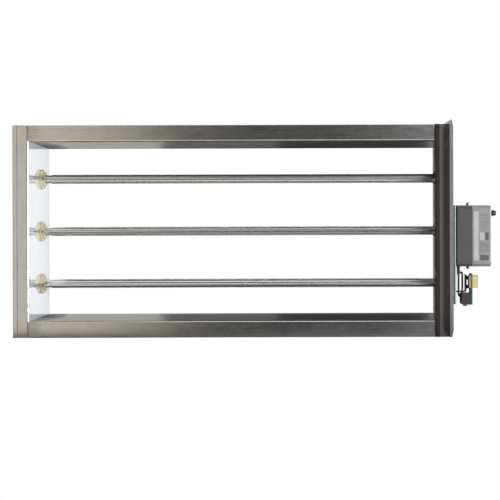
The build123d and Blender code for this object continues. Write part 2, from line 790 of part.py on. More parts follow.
screw_reach = case_wall + plate_play + gear_plate_sheet
with BuildPart() as cover_screws:
    with BuildSketch(Plane.XY.offset(case_top)):
        with Locations((cover_screw_x, axis_y)):
            Circle(small_head_radius)
    extrude(amount=cover_head)
    with BuildSketch(Plane.XY.offset(case_top - screw_reach)):
        with Locations((cover_screw_x, axis_y)):
            Circle(small_screw_radius)
    extrude(amount=screw_reach)
    fillet(cover_screws.edges().filter_by(GeomType.CIRCLE).group_by(Axis.Z)[-1], head_roundness * small_head)
    mirror(about=Plane.XY.offset(case_middle))
save(cover_screws.part, "cover_screws")

# Push button, its clip and the switch behind it
cap_back = cover_face + button_gap
stem_end = cover_inside - stem_reach
with BuildPart() as push_button:
    with BuildSketch(Plane.YZ.offset(stem_end)):
        with Locations((button_y, button_height)):
            Circle(stem_radius)
    extrude(amount=cap_back - stem_end)
    with BuildSketch(Plane.YZ.offset(cap_back)):
        with Locations((button_y, button_height)):
            Circle(button_radius)
    with BuildSketch(Plane.YZ.offset(cap_back + button_length)):
        with Locations((button_y, button_height)):
            Circle(button_tip_radius)
    loft()
    fillet(push_button.edges().filter_by(GeomType.CIRCLE).group_by(Axis.X)[-1], button_round)
save(push_button.part, "push_button")

with BuildPart() as button_clip:
    with BuildSketch(Plane.YZ.offset(cover_inside - clip_gap - clip_thickness)):
        with Locations((button_y, button_height)):
            Circle(clip_radius)
            Circle(stem_radius + seat_clearance, mode=Mode.SUBTRACT)
    extrude(amount=clip_thickness)
save(button_clip.part, "button_clip")

with BuildPart() as push_switch:
    with BuildSketch(Plane.YZ.offset(gear_plate_face)):
        with Locations((button_y, button_height)):
            Rectangle(switch_depth, switch_width)
    extrude(amount=stem_end - switch_gap - gear_plate_face)
    fillet(push_switch.edges().filter_by(Axis.X), switch_round)
save(push_switch.part, "push_switch")

# Carrier for the board: a cranked strap riveted to the bracket
with BuildPart() as board_carrier:
    with BuildSketch(Plane.XZ.offset(carrier_strip - board_back)) as section:
        inner_face = bracket_face + carrier_sheet
        outer_face = carrier_face - carrier_sheet
        with BuildLine():
            Polyline(
                (bracket_face, foot_bottom), (bracket_face, web_top), (outer_face, web_top),
                (outer_face, carrier_top), (carrier_face, carrier_top), (carrier_face, web_bottom),
                (inner_face, web_bottom), (inner_face, foot_bottom), close=True,
            )
        make_face()
        fillet(nearest(section, (outer_face, web_top), (inner_face, web_bottom)), bend_radius)
        outside_bends = nearest(section, (bracket_face, web_top), (carrier_face, web_bottom))
        fillet(outside_bends, bend_radius + carrier_sheet)
    extrude(amount=-carrier_strip)
    with BuildSketch(Plane.YZ.offset(bracket_face)):
        with Locations((strap_y, rivet_z)):
            with GridLocations(0, rivet_spread, 1, 2):
                Circle(small_screw_radius + seat_clearance)
    extrude(amount=carrier_sheet, mode=Mode.SUBTRACT)
    with BuildSketch(Plane.YZ.offset(outer_face)):
        with Locations((strap_y, standoff_z)):
            with GridLocations(0, standoff_drop, 1, 2):
                Circle(small_screw_radius + seat_clearance)
    extrude(amount=carrier_sheet, mode=Mode.SUBTRACT)
save(board_carrier.part, "board_carrier")

with BuildPart() as carrier_rivets:
    with BuildSketch(Plane.YZ.offset(bracket_face - sheet)):
        with Locations((strap_y, rivet_z)):
            with GridLocations(0, rivet_spread, 1, 2):
                Circle(small_screw_radius)
    extrude(amount=sheet + carrier_sheet)
    with BuildSketch(Plane.YZ.offset(bracket_face + carrier_sheet)):
        with Locations((strap_y, rivet_z)):
            with GridLocations(0, rivet_spread, 1, 2):
                Circle(small_head_radius)
    extrude(amount=small_head)
save(carrier_rivets.part, "carrier_rivets")

# Board on two standoffs
with BuildPart() as board_standoffs:
    with BuildSketch(Plane.YZ.offset(carrier_face)):
        with Locations((strap_y, standoff_z)):
            with GridLocations(0, standoff_drop, 1, 2):
                RegularPolygon(standoff_radius, 6)
                Circle(small_screw_radius + seat_clearance, mode=Mode.SUBTRACT)
    extrude(amount=standoff_length)
save(board_standoffs.part, "board_standoffs")

with BuildPart() as terminal_board:
    with BuildSketch(Plane.YZ.offset(board_x)):
        with Locations((board_y, board_top)):
            Rectangle(board_width, board_top - block_bottom, align=(Align.MIN, Align.MAX))
        with Locations((strap_y, standoff_z)):
            with GridLocations(0, standoff_drop, 1, 2):
                Circle(small_screw_radius + seat_clearance, mode=Mode.SUBTRACT)
    extrude(amount=board_sheet)
save(terminal_board.part, "terminal_board")

with BuildPart() as board_screws:
    with BuildSketch(Plane.YZ.offset(carrier_face - carrier_sheet)):
        with Locations((strap_y, standoff_z)):
            with GridLocations(0, standoff_drop, 1, 2):
                Circle(small_screw_radius)
    extrude(amount=board_face - carrier_face + carrier_sheet)
    with BuildSketch(Plane.YZ.offset(board_face)):
        with Locations((strap_y, standoff_z)):
            with GridLocations(0, standoff_drop, 1, 2):
                Circle(small_head_radius)
    extrude(amount=small_head)
save(board_screws.part, "board_screws")

# Plug header on the outer face of the board and the relay behind it
with BuildPart() as plug_header:
    with BuildSketch(Plane.YZ.offset(board_face)):
        with Locations((header_y, header_middle)):
            Rectangle(header_width, header_length)
    extrude(amount=header_height)
    fillet(plug_header.edges().filter_by(Axis.X), header_round)
    with BuildSketch(Plane.YZ.offset(board_face + 2 * header_wall)):
        with Locations((header_y, header_middle)):
            Rectangle(header_width - 2 * header_wall, header_length - 2 * header_wall)
    extrude(amount=header_height - 2 * header_wall, mode=Mode.SUBTRACT)
save(plug_header.part, "plug_header")

with BuildPart() as board_relay:
    with BuildSketch(Plane.YZ.offset(board_x - relay_height)):
        with Locations((header_y, header_middle)):
            Rectangle(header_width, header_length)
    extrude(amount=relay_height)
    fillet(board_relay.edges().filter_by(Axis.X), header_round)
save(board_relay.part, "board_relay")

# Terminal block along the bottom of the board, with a wire recess for each pole
block_middle = (board_y + board_back) / 2
with BuildPart() as terminal_block:
    with BuildSketch(Plane.YZ.offset(block_x)):
        with Locations((block_middle, block_top)):
            Rectangle(board_width, block_length, align=(Align.CENTER, Align.MAX))
    extrude(amount=block_height)
    chamfer(terminal_block.edges().filter_by(Axis.Y).group_by(Axis.X)[0], block_chamfer)
    with BuildSketch(Plane.XY.offset(block_bottom)):
        with Locations((block_x + block_height / 2, block_middle)):
            with GridLocations(0, block_pitch, 1, block_poles):
                Circle(small_head_radius + end_play)
    extrude(amount=block_recess, mode=Mode.SUBTRACT)
    with BuildSketch(Plane.YZ.offset(block_x)):
        with Locations((lead_y, lead_entry)):
            Circle(lead_radius + seat_clearance)
    extrude(amount=lead_seat, mode=Mode.SUBTRACT)
    with BuildSketch(Plane.XY.offset(block_top - lead_seat)):
        with Locations((rear_lead_x, lead_y)):
            Circle(lead_radius + seat_clearance)
    extrude(amount=lead_seat, mode=Mode.SUBTRACT)
save(terminal_block.part, "terminal_block")

with BuildPart() as terminal_screws:
    with BuildSketch(Plane.XY.offset(block_bottom + block_recess)):
        with Locations((block_x + block_height / 2, block_middle)):
            with GridLocations(0, block_pitch, 1, block_poles):
                Circle(small_head_radius)
    extrude(amount=-block_recess - terminal_proud)
save(terminal_screws.part, "terminal_screws")

# Two leads from the case to the terminal block, and the grommets that they leave by
with BuildPart() as front_motor_lead:
    with BuildLine() as route:
        FilletPolyline(
            (front_lead_x, lead_y, lead_top),
            (front_lead_x, lead_y, lead_entry),
            (block_x + lead_seat, lead_y, lead_entry),
            radius=lead_turn,
        )
    with BuildSketch(Plane((front_lead_x, lead_y, lead_top), z_dir=(0, 0, -1))):
        Circle(lead_radius)
    sweep(path=route.line)
save(front_motor_lead.part, "front_motor_lead")

with BuildPart() as rear_motor_lead:
    with BuildLine() as route:
        FilletPolyline(
            (rear_lead_x, rear_lead_y, lead_top),
            (rear_lead_x, rear_lead_y, case_bottom - lead_dip),
            (rear_lead_x, lead_y, case_bottom - lead_dip),
            (rear_lead_x, lead_y, block_top - lead_seat),
            radius=lead_turn,
        )
    with BuildSketch(Plane((rear_lead_x, rear_lead_y, lead_top), z_dir=(0, 0, -1))):
        Circle(lead_radius)
    sweep(path=route.line)
save(rear_motor_lead.part, "rear_motor_lead")

grommet_bore = lead_radius + running_clearance
with BuildPart() as lead_grommets:
    for outlet_x, outlet_y, length in lead_outlets:
        with BuildSketch(Plane.XY.offset(case_bottom)):
            with Locations((outlet_x, outlet_y)):
                Circle(grommet_bore + grommet_wall)
        extrude(amount=case_wall)
        with BuildSketch(Plane.XY.offset(case_bottom)):
            with Locations((outlet_x, outlet_y)):
                Circle(grommet_bore + grommet_wall)
        extrude(amount=-length, taper=grommet_taper)
        with BuildSketch(Plane.XY.offset(case_bottom - length)):
            with Locations((outlet_x, outlet_y)):
                Circle(grommet_bore)
        extrude(amount=length + case_wall, mode=Mode.SUBTRACT)
save(lead_grommets.part, "lead_grommets")
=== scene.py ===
import math

import bmesh
import bpy
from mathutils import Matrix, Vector


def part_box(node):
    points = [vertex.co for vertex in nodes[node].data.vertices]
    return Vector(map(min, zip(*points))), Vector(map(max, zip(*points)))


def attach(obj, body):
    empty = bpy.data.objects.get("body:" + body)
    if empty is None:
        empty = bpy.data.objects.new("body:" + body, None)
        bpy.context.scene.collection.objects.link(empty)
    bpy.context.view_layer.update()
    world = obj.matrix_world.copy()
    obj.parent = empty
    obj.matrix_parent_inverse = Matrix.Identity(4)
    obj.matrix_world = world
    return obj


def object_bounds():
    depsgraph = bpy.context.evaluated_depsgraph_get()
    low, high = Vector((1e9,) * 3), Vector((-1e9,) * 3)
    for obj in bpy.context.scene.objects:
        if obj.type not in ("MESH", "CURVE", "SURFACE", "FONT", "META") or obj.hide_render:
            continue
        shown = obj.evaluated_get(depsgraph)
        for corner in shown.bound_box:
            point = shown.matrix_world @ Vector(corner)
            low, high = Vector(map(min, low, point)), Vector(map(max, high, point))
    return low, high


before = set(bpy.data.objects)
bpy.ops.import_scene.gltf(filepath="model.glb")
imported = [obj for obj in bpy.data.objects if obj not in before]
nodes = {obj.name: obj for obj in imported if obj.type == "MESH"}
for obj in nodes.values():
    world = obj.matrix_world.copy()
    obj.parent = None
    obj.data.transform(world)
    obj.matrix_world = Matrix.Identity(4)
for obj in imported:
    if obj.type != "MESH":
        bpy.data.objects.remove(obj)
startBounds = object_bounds()
mm = 0.001
whiteLight = (1.0, 1.0, 1.0, 1.0)
print("frame loaded:", len(nodes), "nodes")


# sRGB hex code to the linear colour that a shader takes
def hexToLinear(code):
    channels = [int(code[i:i + 2], 16) / 255 for i in (1, 3, 5)]
    linear = [c / 12.92 if c <= 0.04045 else ((c + 0.055) / 1.055) ** 2.4 for c in channels]
    return tuple(linear) + (1.0,)


# One node with its settings, where an input is a value or the socket that feeds it
def addNode(tree, kind, inputs=None, **settings):
    node = tree.nodes.new(kind)
    for name, value in settings.items():
        setattr(node, name, value)
    for name, value in (inputs or {}).items():
        if isinstance(value, bpy.types.NodeSocket):
            tree.links.new(value, node.inputs[name])
        else:
            node.inputs[name].default_value = value
    return node


def startMaterial(name):
    material = bpy.data.materials.new(name)
    material.use_nodes = True
    tree = material.node_tree
    return material, tree, tree.nodes["Principled BSDF"]


metalPattern = {
    "toneLow": 0.7, "toneHigh": 1.6,         # span of the summed pattern, from dark to light
    "roughDown": 0.02, "roughUp": 0.03,      # how far the gloss wanders
    "lineDetail": 3.0, "stainDetail": 4.0,
    "reliefMm": 0.05,                        # depth of a rolling line
    "paintedReflectionStart": 0.6, "paintedReflectionFull": 0.95,      # how squarely a face looks along the axis to take the painted reflection's pale colour
}


# Bare and plated metal: frosty crystals a few millimetres across, rolling streaks and slow stains.
# Rolling lines are near 0.1 mm on the real sheet and are drawn coarser, so that they show.
def metalFinish(name, look):
    material, tree, shader = startMaterial(name)
    place = addNode(tree, "ShaderNodeTexCoord")
    spangle = addNode(tree, "ShaderNodeTexVoronoi", {
        "Vector": place.outputs["Object"], "Scale": 1 / (look["spangleMm"] * mm), "Randomness": 1.0})
    shade = addNode(tree, "ShaderNodeSeparateColor", {"Color": spangle.outputs["Color"]})
    stretch = addNode(tree, "ShaderNodeMapping", {
        "Vector": place.outputs["Object"], "Scale": look["rolling"]})
    lines = addNode(tree, "ShaderNodeTexNoise", {
        "Vector": stretch.outputs["Vector"], "Scale": 1 / (look["lineMm"] * mm),
        "Detail": metalPattern["lineDetail"]})
    stain = addNode(tree, "ShaderNodeTexNoise", {
        "Vector": place.outputs["Object"], "Scale": 1 / (look["stainMm"] * mm),
        "Detail": metalPattern["stainDetail"]})
    streaked = addNode(tree, "ShaderNodeMath", {
        0: shade.outputs["Red"], 1: look["spangleShare"], 2: lines.outputs["Fac"]},
        operation="MULTIPLY_ADD")
    mixed = addNode(tree, "ShaderNodeMath", {
        0: streaked.outputs["Value"], 1: stain.outputs["Fac"]}, operation="ADD")
    tone = addNode(tree, "ShaderNodeMapRange", {
        "Value": mixed.outputs["Value"],
        "From Min": metalPattern["toneLow"], "From Max": metalPattern["toneHigh"]})
    colour = addNode(tree, "ShaderNodeMix", {
        "Factor": tone.outputs["Result"], "A": hexToLinear(look["dark"]), "B": hexToLinear(look["light"])},
        data_type="RGBA")
    rough = addNode(tree, "ShaderNodeMapRange", {
        "Value": mixed.outputs["Value"],
        "From Min": metalPattern["toneLow"], "From Max": metalPattern["toneHigh"],
        "To Min": look["roughness"] - metalPattern["roughDown"],
        "To Max": look["roughness"] + metalPattern["roughUp"]})
    relief = addNode(tree, "ShaderNodeBump", {
        "Height": lines.outputs["Fac"], "Strength": look["relief"],
        "Distance": metalPattern["reliefMm"] * mm})
    tree.links.new(colour.outputs["Result"], shader.inputs["Base Color"])
    tree.links.new(rough.outputs["Result"], shader.inputs["Roughness"])
    tree.links.new(relief.outputs["Normal"], shader.inputs["Normal"])
    shader.inputs["Metallic"].default_value = 1.0
    if "paintedShadeTone" in look:     # painted shade: a dark matt patch that fades out around one place on the sheet
        spot = addNode(tree, "ShaderNodeVectorMath", {
            0: place.outputs["Object"], 1: look["paintedShadeShape"]}, operation="MULTIPLY")
        reach = addNode(tree, "ShaderNodeVectorMath", {
            0: spot.outputs["Vector"], 1: look["paintedShadePlace"]}, operation="DISTANCE")
        paintedShadeFade = addNode(tree, "ShaderNodeMapRange", {
            "Value": reach.outputs["Value"],
            "From Min": look["paintedShadeCore"], "From Max": look["paintedShadeReach"],
            "To Min": look["paintedShadeShare"], "To Max": 0.0})
        paintedShadeColour = addNode(tree, "ShaderNodeMix", {
            "Factor": paintedShadeFade.outputs["Result"],
            "A": colour.outputs["Result"], "B": hexToLinear(look["paintedShadeTone"])}, data_type="RGBA")
        matt = addNode(tree, "ShaderNodeMix", {
            "Factor": paintedShadeFade.outputs["Result"], "A": rough.outputs["Result"], "B": look["paintedShadeRough"]})
        bare = addNode(tree, "ShaderNodeMath", {0: 1.0, 1: paintedShadeFade.outputs["Result"]}, operation="SUBTRACT")
        tree.links.new(paintedShadeColour.outputs["Result"], shader.inputs["Base Color"])
        tree.links.new(matt.outputs["Result"], shader.inputs["Roughness"])
        tree.links.new(bare.outputs["Value"], shader.inputs["Metallic"])
    if "hemFront" in look:      # painted dark reflection on the folded hem, which stands in front of this depth
        depth = addNode(tree, "ShaderNodeSeparateXYZ", {"Vector": place.outputs["Object"]})
        proud = addNode(tree, "ShaderNodeMath", {
            0: depth.outputs["Y"], 1: look["hemFront"]}, operation="LESS_THAN")
        hemReflection = addNode(tree, "ShaderNodeMix", {
            "Factor": proud.outputs["Value"],
            "A": colour.outputs["Result"], "B": hexToLinear(look["hemReflectionTone"])}, data_type="RGBA")
        tree.links.new(hemReflection.outputs["Result"], shader.inputs["Base Color"])
    if "paintedReflectionColour" in look:      # painted reflection: the faces of one side, behind a given depth, turn pale
        facing = addNode(tree, "ShaderNodeNewGeometry")
        across = addNode(tree, "ShaderNodeSeparateXYZ", {"Vector": facing.outputs["Normal"]})
        depth = addNode(tree, "ShaderNodeSeparateXYZ", {"Vector": place.outputs["Object"]})
        inside = addNode(tree, "ShaderNodeMath", {
            0: depth.outputs["Y"], 1: look["paintedReflectionFrom"]}, operation="GREATER_THAN")
        turned = addNode(tree, "ShaderNodeMath", {
            0: across.outputs[look["paintedReflectionAxis"]], 1: inside.outputs["Value"]}, operation="MULTIPLY")
        share = addNode(tree, "ShaderNodeMapRange", {
            "Value": turned.outputs["Value"],
            "From Min": metalPattern["paintedReflectionStart"] * look["paintedReflectionTurn"],
            "From Max": metalPattern["paintedReflectionFull"] * look["paintedReflectionTurn"],
            "To Max": look["paintedReflectionShare"]})
        pale = addNode(tree, "ShaderNodeMix", {
            "Factor": share.outputs["Result"],
            "A": colour.outputs["Result"], "B": hexToLinear(look["paintedReflectionColour"])}, data_type="RGBA")
        shine = addNode(tree, "ShaderNodeMapRange", {
            "Value": share.outputs["Result"], "To Min": 1.0, "To Max": look["paintedReflectionMetal"]})
        gloss = addNode(tree, "ShaderNodeMix", {
            "Factor": share.outputs["Result"], "A": rough.outputs["Result"], "B": look["paintedReflectionRough"]})
        tree.links.new(pale.outputs["Result"], shader.inputs["Base Color"])
        tree.links.new(shine.outputs["Result"], shader.inputs["Metallic"])
        tree.links.new(gloss.outputs["Result"], shader.inputs["Roughness"])
    return material


mouldedPattern = {
    "grainDetail": 3.0, "cloudDetail": 2.0,
    "roughSpread": 0.08,                     # how far the gloss wanders
    "reliefMm": 0.04,                        # depth of the grain
    "scatterMm": (2.0, 1.6, 1.0),            # how far red, green and blue light sinks in
}


# Paint, moulded plastic, rubber and print: one colour in slow clouds, with a fine grain in the surface.
# Real grain is near 0.1 mm, so each finish draws it coarser to show.
def mouldedFinish(name, look):
    material, tree, shader = startMaterial(name)
    place = addNode(tree, "ShaderNodeTexCoord")
    grain = addNode(tree, "ShaderNodeTexNoise", {
        "Vector": place.outputs["Object"], "Scale": 1 / (look["grainMm"] * mm),
        "Detail": mouldedPattern["grainDetail"]})
    cloud = addNode(tree, "ShaderNodeTexNoise", {
        "Vector": place.outputs["Object"], "Scale": 1 / (look["cloudMm"] * mm),
        "Detail": mouldedPattern["cloudDetail"]})
    colour = addNode(tree, "ShaderNodeMix", {
        "Factor": cloud.outputs["Fac"], "A": hexToLinear(look["dark"]), "B": hexToLinear(look["light"])},
        data_type="RGBA")
    rough = addNode(tree, "ShaderNodeMapRange", {
        "Value": cloud.outputs["Fac"],
        "To Min": look["roughness"] - mouldedPattern["roughSpread"],
        "To Max": look["roughness"] + mouldedPattern["roughSpread"]})
    relief = addNode(tree, "ShaderNodeBump", {
        "Height": grain.outputs["Fac"], "Strength": look["relief"],
        "Distance": mouldedPattern["reliefMm"] * mm})
    tree.links.new(colour.outputs["Result"], shader.inputs["Base Color"])
    tree.links.new(rough.outputs["Result"], shader.inputs["Roughness"])
    tree.links.new(relief.outputs["Normal"], shader.inputs["Normal"])
    shader.inputs["Metallic"].default_value = look.get("metallic", 0.0)
    if "ior" in look:
        shader.inputs["IOR"].default_value = look["ior"]
    if "scatter" in look:
        shader.inputs["Subsurface Weight"].default_value = look["scatter"]
        depths = [depth * mm for depth in mouldedPattern["scatterMm"]]
        shader.inputs["Subsurface Radius"].default_value = depths
    if "coat" in look:
        shader.inputs["Coat Weight"].default_value = look["coat"]
    return material


# Hot-dip galvanised strip: a soft grey shine with faint crystals, and streaks along the rolling
galvanised = {"dark": "#a9a8a5", "light": "#bab9b6", "roughness": 0.24, "relief": 0.012,
              "spangleMm": 3.2, "spangleShare": 0.3, "lineMm": 1.6, "stainMm": 60.0,
              "rolling": (0.04, 1.0, 1.0)}
# Strip with painted shade in its left corners: a soft dark matt patch that stands in for the corner shadow.
# The painted shade's shape squeezes the depth, so the patch is long that way.
levelGalvanised = dict(galvanised, paintedShadePlace=(-486 * mm, 5 * mm, 0.0), paintedShadeShape=(1.0, 0.35, 0.0),
                       paintedShadeCore=3 * mm, paintedShadeReach=26 * mm, paintedShadeShare=0.9, paintedShadeTone="#1f1e1d",
                       paintedShadeRough=0.85)
# The plain strip stood on end, so the streaks run upright
uprightGalvanised = dict(galvanised, rolling=(1.0, 1.0, 0.04))
# Darker copy of the upright strip, painted shade for the jamb: flat dark grey that mirrors little, and its
# hem painted darker still as a dark reflection
shadedGalvanised = dict(uprightGalvanised, dark="#5c5a59", light="#676563", roughness=0.45,
                      hemFront=-52.6 * mm, hemReflectionTone="#383433")
# Strip with its inner side painted pale, a painted reflection of the white surround, and enough real metal
# to half mirror the blades
farWallGalvanised = dict(uprightGalvanised, paintedReflectionColour="#f0f1f2", paintedReflectionShare=1.0, paintedReflectionAxis="X", paintedReflectionTurn=1,
                         paintedReflectionFrom=-49.5 * mm, paintedReflectionMetal=0.68, paintedReflectionRough=0.1)
# Plate with its whole duct side painted pale, a painted reflection of the light from the left: a flat pale
# strip when seen almost edge-on
plateGalvanised = dict(uprightGalvanised, paintedReflectionColour="#f6f6f4", paintedReflectionShare=0.95, paintedReflectionAxis="X", paintedReflectionTurn=-1,
                       paintedReflectionFrom=-1000.0 * mm, paintedReflectionMetal=0.0, paintedReflectionRough=0.24)
# Skin-passed strip for the blades: the crystals are rolled away, which leaves a clean, even shine
bladeGalvanised = dict(galvanised, dark="#b7b6b3", light="#c2c1be", spangleMm=2.6, spangleShare=0.02,
                       lineMm=30.0, roughness=0.28, relief=0.001)
# Electroplated zinc with a blue passivation: cold dark grey with a dull sheen
blueZinc = dict(galvanised, dark="#434a4a", light="#545c5c", spangleMm=2.0, roughness=0.46, stainMm=25.0)
# Drawn and stamped steel, bare: brighter than the zinc, with a tight grain
drawnSteel = dict(galvanised, dark="#a5a5a6", light="#c4c4c4", spangleMm=1.5, roughness=0.28, stainMm=15.0)
# Barrel-plated zinc on small screws: dull, slightly warm grey
zincScrew = dict(galvanised, dark="#74736f", light="#8b8a84", spangleMm=1.0, roughness=0.5, stainMm=6.0)
# Sintered bronze: brown metal, speckled and dull from its pores
bronze = dict(galvanised, dark="#7d5a31", light="#a8814e", spangleMm=0.6, roughness=0.45, stainMm=8.0)
# Stoved enamel on the gearcase base: dark grey with a pebbled half gloss
darkPaint = {"dark": "#313130", "light": "#3d3d3b", "roughness": 0.5, "relief": 0.35,
             "grainMm": 0.7, "cloudMm": 14.0, "ior": 1.5}
# The cover's enamel: light grey and a little glossier
lightPaint = dict(darkPaint, dark="#6d6c6b", light="#7a7978", roughness=0.42)
# Moulded nylon in its natural colour: waxy cream that lets some light in
creamNylon = {"dark": "#a59f82", "light": "#b9b398", "roughness": 0.42, "relief": 0.15,
              "grainMm": 0.5, "cloudMm": 5.0, "ior": 1.53, "scatter": 0.1}
# Moulded acetal: as waxy as the nylon but almost white
acetal = dict(creamNylon, dark="#d0d0c8", light="#e3e3dc")
# Solder resist on a glass board: deep green under a clear gloss
boardResist = {"dark": "#14402a", "light": "#1d5a38", "roughness": 0.3, "relief": 0.2,
               "grainMm": 1.4, "cloudMm": 3.0, "ior": 1.55, "coat": 0.4}
# Moulded polyamide plug: a yellower cream than the bushings
creamPlug = dict(creamNylon, dark="#ac9d70", light="#c3b586", scatter=0.15)
# Pressed phenolic: tan and solid, with no light inside
tanRelay = dict(creamPlug, dark="#7d6746", light="#9a835c", scatter=0.0)
# Glass-filled polyamide: near black with a faint pebble
blackMoulding = {"dark": "#151715", "light": "#24271f", "roughness": 0.48, "relief": 0.25,
                 "grainMm": 0.6, "cloudMm": 6.0, "ior": 1.5}
# Extruded rubber: the flattest black here
leadRubber = dict(blackMoulding, dark="#0c0c0c", light="#1a1a1a", roughness=0.55)
# Moulded acrylic: so dark a red that it shows mainly in the gloss
redButton = dict(blackMoulding, dark="#1d080a", light="#341013", roughness=0.32)

finishes = [
    # the end channels carry painted shade in their left corners
    (metalFinish("galvanised steel, level", levelGalvanised), ["top_channel", "bottom_channel"]),
    # the plate's duct side is painted pale as a painted reflection
    (metalFinish("galvanised steel, upright", plateGalvanised), ["mounting_plate"]),
    # the left wall's inner side is painted pale as a painted reflection of the white surround
    (metalFinish("pale galvanised steel, far wall", farWallGalvanised), ["left_channel"]),
    # the right jamb is a darker copy of the strip, painted shade, with a painted dark reflection on its hem
    (metalFinish("dull galvanised steel", shadedGalvanised), ["right_jamb"]),
    (metalFinish("bright galvanised blade", bladeGalvanised), [
        "upper_blade", "middle_blade", "lower_blade"]),
    (metalFinish("blue zinc plate", blueZinc), ["actuator_bracket", "board_carrier"]),
    (metalFinish("drawn steel", drawnSteel), [
        "upper_shaft", "middle_shaft", "lower_shaft", "upper_crank", "middle_crank", "lower_crank",
        "link_bar", "link_pins", "idler_pin", "gear_plate", "motor_can", "button_clip"]),
    (metalFinish("zinc plated screws", zincScrew), [
        "bracket_screws", "carrier_rivets", "board_screws", "gear_plate_screws", "cover_screws",
        "terminal_screws", "board_standoffs"]),
    (metalFinish("sintered bronze", bronze), ["output_bearing"]),
    (mouldedFinish("dark grey enamel", darkPaint), ["gearcase_base"]),
    (mouldedFinish("light grey enamel", lightPaint), ["gearcase_cover"]),
    (mouldedFinish("cream nylon", creamNylon), [
        "upper_left_bushing", "middle_left_bushing", "lower_left_bushing",
        "upper_right_bushing", "middle_right_bushing", "lower_right_bushing"]),
    (mouldedFinish("white acetal", acetal), ["sector_gear", "idler_gear", "motor_pinion"]),
    (mouldedFinish("green solder resist", boardResist), ["terminal_board"]),
    (mouldedFinish("cream polyamide", creamPlug), ["plug_header"]),
    (mouldedFinish("tan phenolic", tanRelay), ["board_relay"]),
    (mouldedFinish("black polyamide", blackMoulding), ["terminal_block", "push_switch"]),
    (mouldedFinish("black lead rubber", leadRubber), [
        "front_motor_lead", "rear_motor_lead", "lead_grommets"]),
    (mouldedFinish("dark red acrylic", redButton), ["push_button"]),
]
for material, names in finishes:
    for name in names:
        nodes[name].data.materials.clear()
        nodes[name].data.materials.append(material)
print("finishes:", len(finishes))


# Turns a finished shape into a piece that rides on the frame
def placeOnFrame(name, shape, material):
    mesh = bpy.data.meshes.new(name)
    shape.to_mesh(mesh)
    shape.free()
    mesh.materials.append(material)
    piece = bpy.data.objects.new(name, mesh)
    bpy.context.scene.collection.objects.link(piece)
    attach(piece, "frame")


bevelSteps = 2      # faces across a rounded edge


# A box from its lowest and highest corner in millimetres, with its edges rounded where a bevel is given
def addBlock(name, low, high, material, bevelMm=0.0):
    shape = bmesh.new()
    bmesh.ops.create_cube(shape, size=1.0)
    lowest = Vector(low) * mm
    highest = Vector(high) * mm
    for vertex in shape.verts:      # from the unit cube around zero to the box
        vertex.co = Vector([
            lowest[i] + (vertex.co[i] + 0.5) * (highest[i] - lowest[i]) for i in range(3)])
    if bevelMm:
        bmesh.ops.bevel(shape, geom=shape.edges[:], offset=bevelMm * mm, segments=bevelSteps,
                        affect="EDGES")
    placeOnFrame(name, shape, material)


# Beads of sealant in the grooves where the end channels meet the left channel's bends
bead = {"bendMm": 2.22, "halfDepthMm": 51.0, "startDeg": 16.0, "stopDeg": 74.0, "steps": 7,
        "faceMm": 50.9, "sideMm": 0.02, "endMm": 0.6}
# Butyl, gunned in and skinned over: a dull line, darker than the metal beside it
sealant = mouldedFinish("grey butyl sealant", {
    "dark": "#7a756f", "light": "#8b867f", "roughness": 0.6, "relief": 0.3, "grainMm": 0.8, "cloudMm": 6.0})
endLow, endHigh = [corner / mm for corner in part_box("top_channel")]
jointX = endLow.x - bead["sideMm"]
bendX = endLow.x - bead["bendMm"] + bead["sideMm"]
bendY = bead["halfDepthMm"] - bead["bendMm"] + bead["sideMm"]
sweepDeg = bead["stopDeg"] - bead["startDeg"]
groove = [(jointX, bead["faceMm"])]
for step in range(bead["steps"]):
    turn = math.radians(bead["startDeg"] + sweepDeg * step / (bead["steps"] - 1))
    groove.append((bendX + bead["bendMm"] * math.sin(turn), bendY + bead["bendMm"] * math.cos(turn)))
groove.append((jointX, groove[-1][1]))
for side, sideName in ((-1, "Front"), (1, "Back")):
    for level, levelName in ((1, "upper"), (-1, "lower")):
        shape = bmesh.new()
        nearZ = level * (endLow.z + bead["endMm"])
        farZ = level * (endHigh.z - bead["endMm"])
        near = [shape.verts.new(Vector((x, side * y, nearZ)) * mm) for x, y in groove]
        far = [shape.verts.new(Vector((x, side * y, farZ)) * mm) for x, y in groove]
        shape.faces.new(near)
        shape.faces.new(far)
        for i in range(len(groove)):
            shape.faces.new((near[i - 1], near[i], far[i], far[i - 1]))
        bmesh.ops.recalc_face_normals(shape, faces=shape.faces[:])
        placeOnFrame("%s%sBead" % (levelName, sideName), shape, sealant)
print("sealant beads placed")

# Contact pins standing in the plug header
pins = {"count": 3, "pitchMm": 3.96, "halfMm": 0.5, "floorMm": 2.4, "shortMm": 1.0, "bevelMm": 0.12}
# Tin over brass: a soft shine with some of the brass's warmth
tinned = metalFinish("tinned brass", dict(zincScrew, dark="#a99f86", light="#c2b89c"))
headerLow, headerHigh = [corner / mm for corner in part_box("plug_header")]
headerMiddle = (headerLow + headerHigh) / 2
for count in range(pins["count"]):
    pinZ = headerMiddle.z + (count - (pins["count"] - 1) / 2) * pins["pitchMm"]
    addBlock("contactPin%d" % count,
             (headerLow.x + pins["floorMm"], headerMiddle.y - pins["halfMm"], pinZ - pins["halfMm"]),
             (headerHigh.x - pins["shortMm"], headerMiddle.y + pins["halfMm"], pinZ + pins["halfMm"]),
             tinned, pins["bevelMm"])
print("contact pins:", pins["count"])

